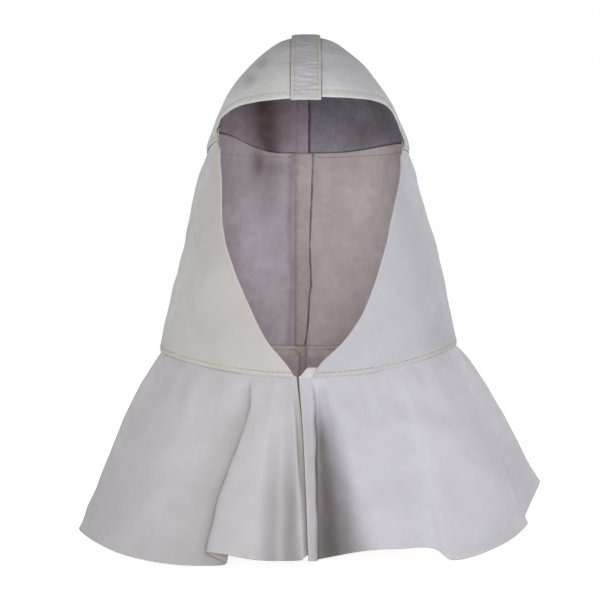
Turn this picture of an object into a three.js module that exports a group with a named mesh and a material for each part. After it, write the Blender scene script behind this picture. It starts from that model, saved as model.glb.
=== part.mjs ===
// A leather welding hood, held in its worn shape: a two-piece crown with a strip sewn over its centre seam,
// two side panels that leave a face opening, and a flared shoulder cape in two halves with a front slit.
// Millimetres, +Z up, the face looks along -Y. The origin is inside the top of the crown, where a head bears.
import * as THREE from 'three';
import { mergeVertices } from 'three/addons/utils/BufferGeometryUtils.js';

// Leather and sewing
const WALL = 1.5; // thickness of the hide
const LAP = 9; // how far a panel's edge runs under its neighbour
const TEMPLE_LAP = { extra: 7, from: 0.15, to: 0.6 }; // side panels run further up inside towards the temples
const LAP_GAP = 1; // clearance between the two layers of a lapped seam
const FLAP_GAP = 1.2; // clearance between a panel and the seam allowance turned down inside it
const SEAM_GAP = 0.4; // clearance between two edges that meet at a centre seam
const TUCK_FADE = 10; // length over which a tucked panel comes back out to the hood's surface
const TEMPLE_SETBACK = 5; // turn by which a side panel's tucked front corner hides behind the crown
const CAPE_CORNER = { left: 2, right: 1, least: 0.15 }; // folds in which the tucked edge is cut down to the slit

// Heights, as drops below the outside of the crown's top
const TEMPLE_DROP = 86; // where the brow rim turns down into the edge of the face opening
const CROWN_EDGE = { back: 115, temple: 106, rise_from: 0.7 }; // lower edge, rising towards the temples
const NECK_EDGE = { back: 320, left: 312, right: 305, front: 334.5 }; // lower edge of the side panels

// Strip over the crown's centre seam
const STRIP = { left: -15, right: 13 };
const STRIP_OVERHANG = 3; // how far the strip hangs past the brow rim
const STRIP_FOLLOW = 0.5; // share of the crown's cross curve that the stiff strip takes up

// Seam allowances turned down inside: their sideways reach, and what they leave free at their ends
const CROWN_FLAP = { left: -11, right: 3 };
const BACK_FLAP = { left: -11, right_top: 6, right_bottom: 1 };
const CAPE_FLAP = { left: -11, right: 4, from: 0.03, to: 0.99 };
const FLAP_CLEAR = 3;
const FLAP_BROW_CLEAR = 0.03;

// The brow's turned hem: the share of the way down where it starts, and the turn in which it thickens
const RIM_HEM = { from: 0.94, fade: 10 };

// How far the cape springs out before it hangs, at most a third of the way down from the neck
const CAPE_SPRING = 6.5;
const CAPE_SPREAD = 40; // flare of a fold that springs out fully

// Level sections of the crown and the side panels: half-widths left and right, and reach to front and back
const SECTIONS = [
  { drop: 0, left: 0, right: 0, front: 0, back: 0 },
  { drop: 4, left: 24, right: 24, front: 28, back: 28 },
  { drop: 14, left: 40, right: 40, front: 54, back: 54 },
  { drop: 34, left: 61, right: 61.5, front: 84, back: 81 },
  { drop: 64, left: 82, right: 82.5, front: 107, back: 101 },
  { drop: 104, left: 98, right: 99.5, front: 117, back: 111 },
  { drop: 150, left: 110.5, right: 112.5, front: 117, back: 114 },
  { drop: 230, left: 128.7, right: 133, front: 114, back: 114 },
  { drop: 345, left: 154, right: 159, front: 110, back: 114 },
];

// Half-width of the face opening at each height, on either side of the middle
const FACE_EDGE = [
  { drop: 86, left: 88, right: 90 },
  { drop: 106, left: 88, right: 95 },
  { drop: 120, left: 84, right: 92.5 },
  { drop: 150, left: 81.7, right: 88.4 },
  { drop: 175, left: 81.2, right: 82 },
  { drop: 200, left: 78.6, right: 77 },
  { drop: 230, left: 70, right: 69.5 },
  { drop: 271, left: 52.6, right: 54 },
  { drop: 300, left: 38, right: 35 },
  { drop: 324, left: 18, right: 11 },
  { drop: 338, left: 9.5, right: 3.7 },
];

// Height of the brow rim, by degrees of turn past the temple towards the middle of the brow
const BROW_RIM = [
  { past: 0, left: 86, right: 86 },
  { past: 3, left: 85.7, right: 79.5 },
  { past: 8, left: 84.8, right: 75.5 },
  { past: 15, left: 83, right: 73.4 },
  { past: 28, left: 79.3, right: 72.5 },
  { past: 43, left: 75.6, right: 72.2 },
  { past: 80, left: 73, right: 73 },
];

// Ridges and valleys of the cape, from the front edge of the left half round the back to that of the right.
// turn is where each leaves the neck, in degrees from the back, and x, y and drop are where it meets the hem.
const CAPE_FOLDS = [
  { turn: -176.3, x: 5, y: -158, drop: 490 },
  { turn: -174, x: -4, y: -170, drop: 495 },
  { turn: -171.5, x: -24, y: -148, drop: 500 },
  { turn: -167, x: -47, y: -172, drop: 495 },
  { turn: -161, x: -91, y: -158, drop: 491 },
  { turn: -158, x: -74, y: -135, drop: 505 },
  { turn: -152, x: -100, y: -144, drop: 505 },
  { turn: -135, x: -137, y: -136, drop: 503 },
  { turn: -117, x: -181, y: -98, drop: 499 },
  { turn: -97, x: -224, y: -30, drop: 487 },
  { turn: -80, x: -211, y: 42, drop: 488 },
  { turn: -64, x: -176, y: 94, drop: 491 },
  { turn: -48, x: -151, y: 148, drop: 486 },
  { turn: -34, x: -104, y: 146, drop: 491 },
  { turn: -18, x: -60, y: 180, drop: 486 },
  { turn: 0, x: 0, y: 170, drop: 489 },
  { turn: 18, x: 58, y: 180, drop: 486 },
  { turn: 33, x: 100, y: 148, drop: 491 },
  { turn: 47, x: 149, y: 150, drop: 485 },
  { turn: 62, x: 176, y: 100, drop: 486 },
  { turn: 77, x: 220, y: 62, drop: 470 },
  { turn: 92, x: 234, y: 10, drop: 444 },
  { turn: 106, x: 212, y: -46, drop: 472 },
  { turn: 113, x: 210, y: -74, drop: 477 },
  { turn: 127, x: 179, y: -122, drop: 490 },
  { turn: 143, x: 131, y: -152, drop: 498 },
  { turn: 148, x: 116, y: -146, drop: 489 },
  { turn: 160, x: 84, y: -160, drop: 487 },
  { turn: 172, x: 55, y: -160, drop: 489 },
  { turn: 175.5, x: 18, y: -106, drop: 505 },
  { turn: 178.5, x: 15, y: -168, drop: 497 },
  { turn: 183, x: 2, y: -172, drop: 496 },
];

// Steps of the meshes. A crown half counts across 0 to 1 round the side and 1 to 2 over the brow, and along
// 0 to 1 down to the temple and 1 to 2 on to its lower edge. The cape counts -1 to 0 in its tucked edge.
const CROWN_STEPS = { side: 16, brow: 10, brow_crowding: 1.5 };
const CROWN_ROWS = [0, 0.08, 0.17, 0.3, 0.44, 0.58, 0.7, 0.82, 0.925, RIM_HEM.from, 1, 1.33, 1.67, 2];
const PANEL_STEPS = 26;
const PANEL_ROWS = [0, 0.04, 0.06, 0.085, 0.12, 0.2, 0.3, 0.4, 0.5, 0.6, 0.7, 0.8, 0.88, 0.95, 1];
const CAPE_STEPS_PER_FOLD = 3;
const CAPE_ROWS = [-1, 0, 0.05, 0.12, 0.22, 0.36, 0.52, 0.68, 0.84, 1];
const STRIP_STEPS = { across: 4, along: 30 };
const FLAP_STEPS = { across: 3, along: 16 };

const LEFT = -1;
const RIGHT = 1;
const SIDE_NAMES = { [LEFT]: 'left', [RIGHT]: 'right' };
const { clamp, degToRad, lerp, radToDeg, smoothstep } = THREE.MathUtils;

// A smooth curve through one column of a table that never overshoots between its rows.
function columnCurve(rows, key, column) {
  const xs = rows.map(key);
  const ys = rows.map((row) => row[column]);
  const slopes = xs.slice(1).map((x, i) => (ys[i + 1] - ys[i]) / (x - xs[i]));
  const tangents = xs.map((x, i) => {
    if (i === 0) return slopes[0];
    if (i === xs.length - 1) return slopes[i - 1];
    const product = slopes[i - 1] * slopes[i];
    return product <= 0 ? 0 : (2 * product) / (slopes[i - 1] + slopes[i]);
  });
  return (x) => {
    const at = clamp(x, xs[0], xs[xs.length - 1]);
    const i = Math.min(xs.length - 2, Math.max(0, xs.findIndex((value) => value >= at) - 1));
    const span = xs[i + 1] - xs[i];
    const t = (at - xs[i]) / span;
    const ease = t * t * (3 - 2 * t);
    const enter = t * (1 - t) * (1 - t) * tangents[i] * span;
    const leave = t * t * (t - 1) * tangents[i + 1] * span;
    return lerp(ys[i], ys[i + 1], ease) + enter + leave;
  };
}

function sideCurves(rows, key) {
  return {
    [LEFT]: columnCurve(rows, key, SIDE_NAMES[LEFT]),
    [RIGHT]: columnCurve(rows, key, SIDE_NAMES[RIGHT]),
  };
}

// The dome grows with the root of the drop, so its table is read along that root.
const rootOfDrop = (row) => Math.sqrt(row.drop);
const widthCurves = sideCurves(SECTIONS, rootOfDrop);
const frontCurve = columnCurve(SECTIONS, rootOfDrop, 'front');
const backCurve = columnCurve(SECTIONS, rootOfDrop, 'back');
const faceCurves = sideCurves(FACE_EDGE, (row) => row.drop);
const rimCurves = sideCurves(BROW_RIM, (row) => row.past);

const halfWidthAt = (side, drop) => widthCurves[side](Math.sqrt(drop));
const frontAt = (drop) => frontCurve(Math.sqrt(drop));
const backAt = (drop) => backCurve(Math.sqrt(drop));

// A point on the outside of the hood. turn is in degrees from the back: negative left, positive right.
function hoodPoint(turn, drop) {
  const angle = degToRad(turn);
  const halfWidth = halfWidthAt(Math.sin(angle) < 0 ? LEFT : RIGHT, drop);
  const reach = Math.cos(angle) >= 0 ? backAt(drop) : frontAt(drop);
  return new THREE.Vector3(halfWidth * Math.sin(angle), reach * Math.cos(angle), WALL - drop);
}

// Turn at which the leather ends at the face opening.
function faceTurn(side, drop) {
  return 180 - radToDeg(Math.asin(faceCurves[side](drop) / halfWidthAt(side, drop)));
}

// Lower edge of the crown, by the share of the way round from the back seam to the face opening.
function crownEdgeDrop(share) {
  return lerp(CROWN_EDGE.back, CROWN_EDGE.temple, smoothstep(Math.abs(share), CROWN_EDGE.rise_from, 1));
}

function neckDrop(turn) {
  const angle = degToRad(turn);
  const level = Math.cos(angle) ** 2;
  const side = Math.sin(angle) < 0 ? NECK_EDGE.left : NECK_EDGE.right;
  return lerp(side, Math.cos(angle) >= 0 ? NECK_EDGE.back : NECK_EDGE.front, level);
}

// Outward direction of a surface, from its slopes across and along.
function outwardAt(surface, u, v) {
  const step = 1e-3;
  const across = surface(u + step, v).sub(surface(u - step, v));
  const along = surface(u, v + step).sub(surface(u, v - step));
  return across.cross(along).normalize();
}

// A point at a depth under the outside of the hood.
function insideHood(turn, drop, depth) {
  return hoodPoint(turn, drop).addScaledVector(outwardAt(hoodPoint, turn, drop), -depth);
}

// Joins equal corners, and drops the faces that close up where a row of the grid runs into one point.
function closedGeometry(corners, faces) {
  const open = new THREE.BufferGeometry().setFromPoints(corners);
  open.setIndex(faces);
  const joined = mergeVertices(open, 1e-4);
  const index = joined.getIndex().array;
  const kept = [];
  for (let i = 0; i < index.length; i += 3) {
    const [a, b, c] = [index[i], index[i + 1], index[i + 2]];
    if (a !== b && b !== c && c !== a) kept.push(a, b, c);
  }
  joined.setIndex(kept);
  joined.computeVertexNormals();
  return joined;
}

const evenWall = () => WALL;
const noCut = () => false;

// A closed leather wall under a surface, on a grid of its values across and along. Cells may be cut away,
// and every edge that is left open gets a side face.
function leatherWall({ surface, across, along, outward = outwardAt, thicknessAt = evenWall, isCut = noCut }) {
  const finished = [];
  const flesh = [];
  for (const v of along) {
    for (const u of across) {
      const point = surface(u, v);
      finished.push(point);
      flesh.push(point.clone().addScaledVector(outward(surface, u, v), -thicknessAt(u, v)));
    }
  }
  const cells = [];
  const cornerAt = (i, j) => j * across.length + i;
  for (let j = 0; j + 1 < along.length; j += 1) {
    for (let i = 0; i + 1 < across.length; i += 1) {
      if (isCut((across[i] + across[i + 1]) / 2, (along[j] + along[j + 1]) / 2)) continue;
      cells.push([cornerAt(i, j), cornerAt(i + 1, j), cornerAt(i + 1, j + 1), cornerAt(i, j + 1)]);
    }
  }
  const edges = new Map();
  for (const cell of cells) {
    cell.forEach((from, k) => {
      const to = cell[(k + 1) % 4];
      if (!edges.delete(`${to} ${from}`)) edges.set(`${from} ${to}`, [from, to]);
    });
  }
  const faces = [];
  const under = finished.length;
  const addQuad = (a, b, c, d) => faces.push(a, b, c, a, c, d);
  for (const [a, b, c, d] of cells) {
    addQuad(a, b, c, d);
    addQuad(under + a, under + d, under + c, under + b);
  }
  for (const [from, to] of edges.values()) addQuad(to, from, under + from, under + to);
  return closedGeometry([...finished, ...flesh], faces);
}

function evenSteps(from, to, count) {
  return Array.from({ length: count + 1 }, (_, i) => lerp(from, to, i / count));
}

// Crown: each half covers the dome from the top to its lower edge, and in front only down to the brow rim.
function crownPlace(side, across, along) {
  const round = Math.abs(across);
  const temple = faceTurn(side, TEMPLE_DROP);
  if (round > 1) {
    const past = (180 - temple) * (round - 1) ** CROWN_STEPS.brow_crowding;
    return { turn: side * (temple + past), drop: rimCurves[side](past) * along * along, past };
  }
  const below = (crownEdgeDrop(round) - TEMPLE_DROP) * (along - 1);
  const drop = along > 1 ? TEMPLE_DROP + below : TEMPLE_DROP * along * along;
  return { turn: side * round * faceTurn(side, Math.max(drop, TEMPLE_DROP)), drop, past: 0 };
}

function crownHalf(side) {
  const rounds = [...evenSteps(0, 1, CROWN_STEPS.side), ...evenSteps(1, 2, CROWN_STEPS.brow).slice(1)];
  return leatherWall({
    surface: (across, along) => {
      const { turn, drop } = crownPlace(side, across, along);
      return hoodPoint(turn, drop);
    },
    across: rounds.map((round) => side * round).sort((a, b) => a - b),
    along: CROWN_ROWS,
    outward: (surface, across, along) => {
      const { turn, drop } = crownPlace(side, across, along);
      return drop === 0 ? new THREE.Vector3(0, 0, 1) : outwardAt(hoodPoint, turn, drop);
    },
    thicknessAt: (across, along) => {
      const { past } = crownPlace(side, across, along);
      return along < RIM_HEM.from ? WALL : WALL * (1 + smoothstep(past, 0, RIM_HEM.fade));
    },
    isCut: (across, along) => Math.abs(across) > 1 && along > 1,
  });
}

// A point on the crown's centre seam. along runs from -1 at the brow, through 0 at the top, to 1 at the back.
function ridgePoint(along, brow, back) {
  const drop = (along < 0 ? brow : back) * along * along;
  return new THREE.Vector3(0, along < 0 ? -frontAt(drop) : backAt(drop), WALL - drop);
}

// How far the crown falls away, square to its ridge, at a sideways distance from the centre seam.
function fallFromRidge(ridge, outward, x) {
  const side = x < 0 ? LEFT : RIGHT;
  const isInside = (depth) => {
    const y = ridge.y - outward.y * depth;
    const drop = WALL - (ridge.z - outward.z * depth);
    const reach = y >= 0 ? backAt(drop) : frontAt(drop);
    return drop > 0 && (x / halfWidthAt(side, drop)) ** 2 + (y / reach) ** 2 < 1;
  };
  let near = 0;
  let far = Math.abs(x);
  for (let i = 0; i < 40; i += 1) {
    const middle = (near + far) / 2;
    if (isInside(middle)) far = middle;
    else near = middle;
  }
  return far;
}

// A band that lies along the crown's centre seam, off its outside by a height that may be negative.
function ridgeBand({ left, right, brow, back, from, follow, height, steps }) {
  const outwardOf = (along) => {
    const step = 1e-3;
    const run = ridgePoint(along + step, brow, back).sub(ridgePoint(along - step, brow, back));
    return new THREE.Vector3(1, 0, 0).cross(run).normalize();
  };
  return leatherWall({
    surface: (x, along) => {
      const ridge = ridgePoint(along, brow, back);
      const outward = outwardOf(along);
      const fall = follow * fallFromRidge(ridge, outward, x);
      return ridge.addScaledVector(outward, height - fall).setX(x);
    },
    across: evenSteps(left, right, steps.across),
    along: evenSteps(from, 1, steps.along),
    outward: (surface, x, along) => outwardOf(along),
  });
}

const browDrop = rimCurves[RIGHT](180);

function crownStrip() {
  return ridgeBand({
    left: STRIP.left,
    right: STRIP.right,
    brow: browDrop + STRIP_OVERHANG,
    back: CROWN_EDGE.back,
    from: -1,
    follow: STRIP_FOLLOW,
    height: LAP_GAP / 2 + WALL,
    steps: STRIP_STEPS,
  });
}

function crownSeamFlap() {
  return ridgeBand({
    left: CROWN_FLAP.left,
    right: CROWN_FLAP.right,
    brow: browDrop,
    back: CROWN_EDGE.back - LAP - FLAP_CLEAR,
    from: FLAP_BROW_CLEAR - RIM_HEM.from,
    follow: 1,
    height: -(WALL + FLAP_GAP),
    steps: FLAP_STEPS,
  });
}

// Side panels: from under the crown down to the neck, and from the back seam round to the face opening.
function tuckShare(across, drop) {
  return 1 - smoothstep(drop - crownEdgeDrop(across), 1, TUCK_FADE);
}

function sidePanelPlace(side, across, along) {
  const rise = TEMPLE_LAP.extra * smoothstep(Math.abs(across), TEMPLE_LAP.from, TEMPLE_LAP.to);
  const top = crownEdgeDrop(across) - LAP - rise;
  let turn = 0;
  let drop = top;
  for (let i = 0; i < 12; i += 1) {
    turn = across * (faceTurn(side, drop) - TEMPLE_SETBACK * tuckShare(across, drop));
    drop = lerp(top, neckDrop(turn), along);
  }
  return { turn, drop };
}

function sidePanel(side) {
  return leatherWall({
    surface: (across, along) => {
      const { turn, drop } = sidePanelPlace(side, across, along);
      return insideHood(turn, drop, (WALL + LAP_GAP) * tuckShare(across, drop));
    },
    across: evenSteps(Math.min(side, 0), Math.max(side, 0), PANEL_STEPS),
    along: PANEL_ROWS,
  });
}

// The allowances of the back seam, turned to one side and sewn flat inside the side panels.
function backSeamFlap() {
  const top = CROWN_EDGE.back - LAP;
  const from = top + FLAP_GAP;
  const to = NECK_EDGE.back - LAP - FLAP_CLEAR;
  const panelDrops = PANEL_ROWS.map((row) => lerp(top, NECK_EDGE.back, row));
  return leatherWall({
    surface: (share, drop) => {
      const down = (drop - from) / (to - from);
      const x = lerp(BACK_FLAP.left, lerp(BACK_FLAP.right_top, BACK_FLAP.right_bottom, down), share);
      const turn = radToDeg(Math.asin(x / halfWidthAt(RIGHT, drop)));
      return insideHood(turn, drop, WALL + FLAP_GAP + (WALL + LAP_GAP) * tuckShare(0, drop));
    },
    across: evenSteps(0, 1, FLAP_STEPS.across),
    along: [from, ...panelDrops.filter((drop) => drop > from && drop < to), to],
  });
}

// Cape: its top edge is tucked under the side panels, and from the neck it springs out to a fluted hem.
const lastFold = CAPE_FOLDS.length - 1;
const backFold = CAPE_FOLDS.findIndex((fold) => fold.turn === 0);
const hemPoints = CAPE_FOLDS.map(({ x, y, drop }) => new THREE.Vector3(x, y, WALL - drop));
const hemCurve = new THREE.CatmullRomCurve3(hemPoints, false, 'centripetal');
const foldRows = CAPE_FOLDS.map((fold, index) => ({ ...fold, index }));
const foldTurn = columnCurve(foldRows, (row) => row.index, 'turn');

// Height of the tucked edge, which is cut down towards the slit.
function cornerHeight(fold) {
  const left = smoothstep(fold, 0, CAPE_CORNER.left);
  const right = smoothstep(lastFold - fold, 0, CAPE_CORNER.right);
  return (LAP + LAP_GAP) * lerp(CAPE_CORNER.least, 1, left * right);
}

function capePoint(fold, share) {
  const turn = foldTurn(fold);
  const edge = neckDrop(turn) + LAP_GAP;
  if (share <= 0) return insideHood(turn, edge + share * cornerHeight(fold), WALL + LAP_GAP);
  const neck = insideHood(turn, edge, WALL + LAP_GAP);
  const hem = hemCurve.getPoint(clamp(fold / lastFold, 0, 1));
  const flare = hem.clone().sub(neck).setZ(0).divideScalar(CAPE_SPREAD).clampLength(0, 1);
  const bulge = (27 / 4) * share * (1 - share) ** 2; // 1 at its highest
  return neck.lerp(hem, share).addScaledVector(flare, CAPE_SPRING * bulge);
}

// Directions are taken a little inside the cape's ends, and below the bend where it leaves the neck.
function capeOutward(surface, fold, share) {
  const margin = 2e-3;
  const down = share === 0 ? margin : Math.min(share, 1 - margin);
  return outwardAt(capePoint, clamp(fold, margin, lastFold - margin), down);
}

function capeHalf(side) {
  const [from, to] = side === LEFT ? [0, backFold] : [backFold, lastFold];
  return leatherWall({
    surface: capePoint,
    across: evenSteps(from, to, (to - from) * CAPE_STEPS_PER_FOLD),
    along: CAPE_ROWS,
    outward: capeOutward,
  });
}

function capeSeamFlap() {
  const foldAt = (x) => backFold + x / CAPE_FOLDS[backFold + 1].x;
  const outward = (surface, x, share) => capeOutward(surface, foldAt(x), share);
  return leatherWall({
    surface: (x, share) => {
      const inside = outward(capePoint, x, share).multiplyScalar(-(WALL + FLAP_GAP));
      return capePoint(foldAt(x), share).add(inside);
    },
    across: evenSteps(CAPE_FLAP.left, CAPE_FLAP.right, FLAP_STEPS.across),
    along: evenSteps(CAPE_FLAP.from, CAPE_FLAP.to, FLAP_STEPS.along),
    outward,
  });
}

const grainLeather = { color: 0xc3c1c2, roughness: 0.62, metalness: 0 };
const suede = { color: 0x9a8f90, roughness: 0.95, metalness: 0 };

function addPiece(group, name, geometry, finish) {
  const piece = new THREE.Mesh(geometry, new THREE.MeshStandardMaterial(finish));
  piece.name = name;
  group.add(piece);
}

const hood = new THREE.Group();
for (const side of [LEFT, RIGHT]) {
  const half = new THREE.Group();
  half.position.x = (side * SEAM_GAP) / 2;
  addPiece(half, `crown_${SIDE_NAMES[side]}`, crownHalf(side), grainLeather);
  addPiece(half, `side_panel_${SIDE_NAMES[side]}`, sidePanel(side), grainLeather);
  addPiece(half, `cape_${SIDE_NAMES[side]}`, capeHalf(side), grainLeather);
  hood.add(half);
}
addPiece(hood, 'crown_strip', crownStrip(), grainLeather);
addPiece(hood, 'crown_seam_flap', crownSeamFlap(), suede);
addPiece(hood, 'back_seam_flap', backSeamFlap(), suede);
addPiece(hood, 'cape_seam_flap', capeSeamFlap(), suede);

export default hood;
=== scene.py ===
# A leather welding hood, sewn from pale grey hide: a domed crown in two halves with a strip over its seam,
# two side panels round a face opening, and a flared shoulder cape in two halves with a slit at the front.
# Tables and lengths are in millimetres; the meshes are in metres. +Z is up and the face looks along -Y.
import math

import bmesh
import bpy
import numpy as np
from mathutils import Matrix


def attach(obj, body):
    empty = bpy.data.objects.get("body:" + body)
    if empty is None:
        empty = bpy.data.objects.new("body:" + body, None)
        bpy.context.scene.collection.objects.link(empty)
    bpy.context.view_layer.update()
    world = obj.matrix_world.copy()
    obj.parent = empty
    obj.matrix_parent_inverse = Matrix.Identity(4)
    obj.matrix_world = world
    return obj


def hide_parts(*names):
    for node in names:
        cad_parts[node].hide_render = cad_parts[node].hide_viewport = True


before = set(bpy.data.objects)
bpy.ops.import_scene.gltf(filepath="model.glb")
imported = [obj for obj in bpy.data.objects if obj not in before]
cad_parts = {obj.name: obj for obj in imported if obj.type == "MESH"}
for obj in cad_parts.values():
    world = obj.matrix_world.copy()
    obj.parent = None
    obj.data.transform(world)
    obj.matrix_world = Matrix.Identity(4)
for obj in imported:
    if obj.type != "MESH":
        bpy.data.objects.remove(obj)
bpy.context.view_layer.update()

# Crown
# Two curved halves of hide with the grain side out, joined by a seam over the head from the brow to the back.
# The brow rim is turned under into a stitched hem, and the other edges are cut raw.
MM = 0.001
WALL = 1.5  # thickness of the hide
LAP = 9  # how far a panel's edge runs under its neighbour
LAP_GAP = 1  # clearance between the two layers of a lapped seam
SEAM_GAP = 0.4  # clearance between two edges that meet at a centre seam
LEFT = -1
RIGHT = 1
SIDES = {LEFT: "left", RIGHT: "right"}
TEMPLE_DROP = 86  # where the brow rim turns down into the edge of the face opening
TEMPLE_LAP = {LEFT: 14, RIGHT: 4}  # how much further up the side panels run inside the crown's sides
CROWN_BACK_EDGE = 115
CROWN_TEMPLE_EDGE = {LEFT: 106, RIGHT: 114}
CROWN_EDGE_RISE_FROM = 0.7
CROWN_CORNER = 4  # degrees of turn by which the lower front corner is rounded off
CROWN_STITCH_ABOVE = 4
CROWN_PULL = 1.8  # how far the stitches draw the lower edge in
CROWN_PULL_REACH = 8
CROWN_PRESSED = 0.65  # how much thinner the hide is pressed at that edge
CROWN_SEAM_RAW = 1.6  # x of the raw edge of the seam allowance inside
BROW_CROWDING = 1.5
BROW_STITCH_ABOVE = 6.5
STITCH_GROOVE = 0.35  # depth of the groove that a row of stitches draws
BROW_GROOVE_WIDTH = 1.3
HEM_FADE = 10  # degrees of turn in which the brow hem thickens
HEM_DEPTH = 8.5
HEM_THICKER = 0.2
HEM_PUFF = (3, 2.2)  # distance from the rim and half-width of the hem's roundness
HEM_PUFF_HEIGHT = 0.1
STRIP_LEFT = -15  # the edges of the strip that lies on the seam
STRIP_RIGHT = 13
BESIDE_COVER = 0.5  # distance from a layer's edge at which the painted shadow beside it is darkest
TOP_FADE = (4, 30)  # drops between which the hide's relief sets in
CROWN_DENTS = ((-43, -31, 6, 0.9), (-55, -47, 6, 0.9))  # x, z, radius and depth of soft dents in the front
# how much painted shade darkens the dents
DENT_SHADE = 0.7
CROWN_FOLD = (-42, 17)  # x and half-width of a soft fold down the back of the left half
CROWN_FOLD_DEPTH = 5
CROWN_FOLD_START = (30, 60)
CROWN_FOLD_END = (85, 100)
# how much painted shade darkens that fold on the flesh side
CROWN_FOLD_SHADE = 1.3
CROWN_INSIDE_SHADE = (66, -84, 26, 20)  # x, z, half-width and half-height of painted shade inside the back
CROWN_INSIDE_SHADE_STRENGTH = 0.75

# Level sections of the hood: drop below the top, half-widths left and right, reach to front and back.
SECTIONS = np.array([
    (0, 0, 0, 0, 0),
    (4, 24, 24, 28, 28),
    (14, 40, 40, 54, 54),
    (34, 61, 61.5, 84, 81),
    (64, 82, 82.5, 107, 101),
    (104, 98, 99.5, 117, 111),
    (150, 110.5, 112.5, 117, 114),
    (230, 128.7, 133, 114, 114),
    (345, 154, 159, 110, 114),
])

# Face opening: drop, and half-widths left and right.
FACE_EDGE = np.array([
    (86, 86, 90),
    (95, 87.7, 92.6),
    (106, 88, 95),
    (120, 84, 92.5),
    (150, 81.7, 88.4),
    (175, 81.2, 82),
    (200, 78.6, 77),
    (230, 70, 69.5),
    (271, 52.6, 54),
    (300, 38, 35),
    (324, 18, 11),
    (338, 9.5, 3.7),
])

# Brow rim: degrees past the temple, and drop on the left and on the right.
BROW_RIM = np.array([
    (0, 86, 86),
    (3, 82.5, 77),
    (8, 79.5, 73),
    (15, 77.2, 71),
    (28, 75, 70.2),
    (43, 73.3, 70.3),
    (80, 71.5, 71.5),
])


def table_curve(keys, values):
    """A smooth curve through the rows of a table that never overshoots between them."""
    slopes = np.diff(values) / np.diff(keys)
    product = slopes[:-1] * slopes[1:]
    total = np.where(product > 0, slopes[:-1] + slopes[1:], 1)
    inner = np.where(product > 0, 2 * product / total, 0)
    tangents = np.concatenate([slopes[:1], inner, slopes[-1:]])

    def curve(x):
        at = np.clip(x, keys[0], keys[-1])
        i = np.clip(np.searchsorted(keys, at) - 1, 0, len(keys) - 2)
        span = keys[i + 1] - keys[i]
        t = (at - keys[i]) / span
        ease = t * t * (3 - 2 * t)
        enter = t * (1 - t) ** 2 * tangents[i] * span
        leave = t * t * (t - 1) * tangents[i + 1] * span
        return values[i] + (values[i + 1] - values[i]) * ease + enter + leave

    return curve


def side_curves(keys, table):
    """Curves for the left and the right side through a table's second and third columns."""
    return {LEFT: table_curve(keys, table[:, 1]), RIGHT: table_curve(keys, table[:, 2])}


section_keys = np.sqrt(SECTIONS[:, 0])
half_width_curve = side_curves(section_keys, SECTIONS)
front_curve = table_curve(section_keys, SECTIONS[:, 3])
back_curve = table_curve(section_keys, SECTIONS[:, 4])
face_curve = side_curves(FACE_EDGE[:, 0], FACE_EDGE)
rim_curve = side_curves(BROW_RIM[:, 0], BROW_RIM)


def smoothstep(x, low, high):
    t = np.clip((x - low) / (high - low), 0, 1)
    return t * t * (3 - 2 * t)


def hump(x, middle, width):
    """1 at the middle, falling off evenly to both sides."""
    return np.exp(-(((x - middle) / width) ** 2))


def spot(points, x, z, wide, high):
    """1 at a place on the front or the back, falling off round it."""
    return hump(points[..., 0], x, wide) * hump(points[..., 2], z, high)


def graded(*spans):
    """Rising numbers in spans of start, end and count, each going on from the one before."""
    first, *others = (np.linspace(*span) for span in spans)
    return np.concatenate([first, *(numbers[1:] for numbers in others)])


def half_width(sine, drop):
    root = np.sqrt(np.maximum(drop, 0))
    return np.where(sine < 0, half_width_curve[LEFT](root), half_width_curve[RIGHT](root))


def reach(cosine, drop):
    root = np.sqrt(np.maximum(drop, 0))
    return np.where(cosine >= 0, back_curve(root), front_curve(root))


def hood_point(turn, drop):
    """A point on the outside of the hood; turn is in degrees from the back, negative to the left."""
    turn, drop = np.broadcast_arrays(turn, drop)
    sine = np.sin(np.radians(turn))
    cosine = np.cos(np.radians(turn))
    return np.stack([half_width(sine, drop) * sine, reach(cosine, drop) * cosine, WALL - drop], axis=-1)


def unit(vectors):
    return vectors / np.maximum(np.linalg.norm(vectors, axis=-1, keepdims=True), 1e-12)


def face_turn(side, drop):
    """Turn at which the leather ends at the face opening."""
    root = np.sqrt(drop)
    return 180 - np.degrees(np.arcsin(face_curve[side](drop) / half_width_curve[side](root)))


def crown_edge_drop(side, share):
    rise = smoothstep(np.abs(share), CROWN_EDGE_RISE_FROM, 1)
    return CROWN_BACK_EDGE + (CROWN_TEMPLE_EDGE[side] - CROWN_BACK_EDGE) * rise


def panel_top_drop(side, across):
    """Top edge of a side panel, tucked under the crown and further up at the side of the head."""
    further = smoothstep(across, 0.15, 0.58) * (1 - smoothstep(across, 0.65, 0.95))
    return crown_edge_drop(side, across) - LAP - TEMPLE_LAP[side] * further


def ripple(points, wavelength, seed, count=16):
    """Smooth random relief of about unit height, with hollows about a wavelength apart."""
    draw = np.random.default_rng(seed)
    directions = unit(draw.normal(size=(count, 3)))
    waves = 2 * math.pi / wavelength * draw.uniform(0.6, 1.5, count)
    phases = draw.uniform(0, 2 * math.pi, count)
    return np.sin(points @ (directions * waves[:, None]).T + phases).sum(-1) / math.sqrt(count / 2)


def hide_relief(points):
    """How far soft hide stands off its even shape, the same for all layers in one place."""
    return 0.5 * ripple(points, 85, 3) + 0.22 * ripple(points, 34, 4)


def crown_relief(points):
    return hide_relief(points) * smoothstep(WALL - points[..., 2], *TOP_FADE)


def sheet_normals(grid):
    """Outward directions of a grid whose columns run round and whose rows run down."""
    normals = np.cross(np.gradient(grid, axis=1), np.gradient(grid, axis=0))
    flat = np.linalg.norm(normals, axis=-1) < 1e-6
    normals = unit(normals)
    normals[flat] = (0, 0, 1)
    return normals


def side_shift(side):
    return np.array([side * SEAM_GAP / 2, 0, 0])


def lifted(side, base, lift):
    """A grid raised off its even shape and moved clear of the centre seam."""
    return base + sheet_normals(base) * lift[..., None] + side_shift(side)


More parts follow.
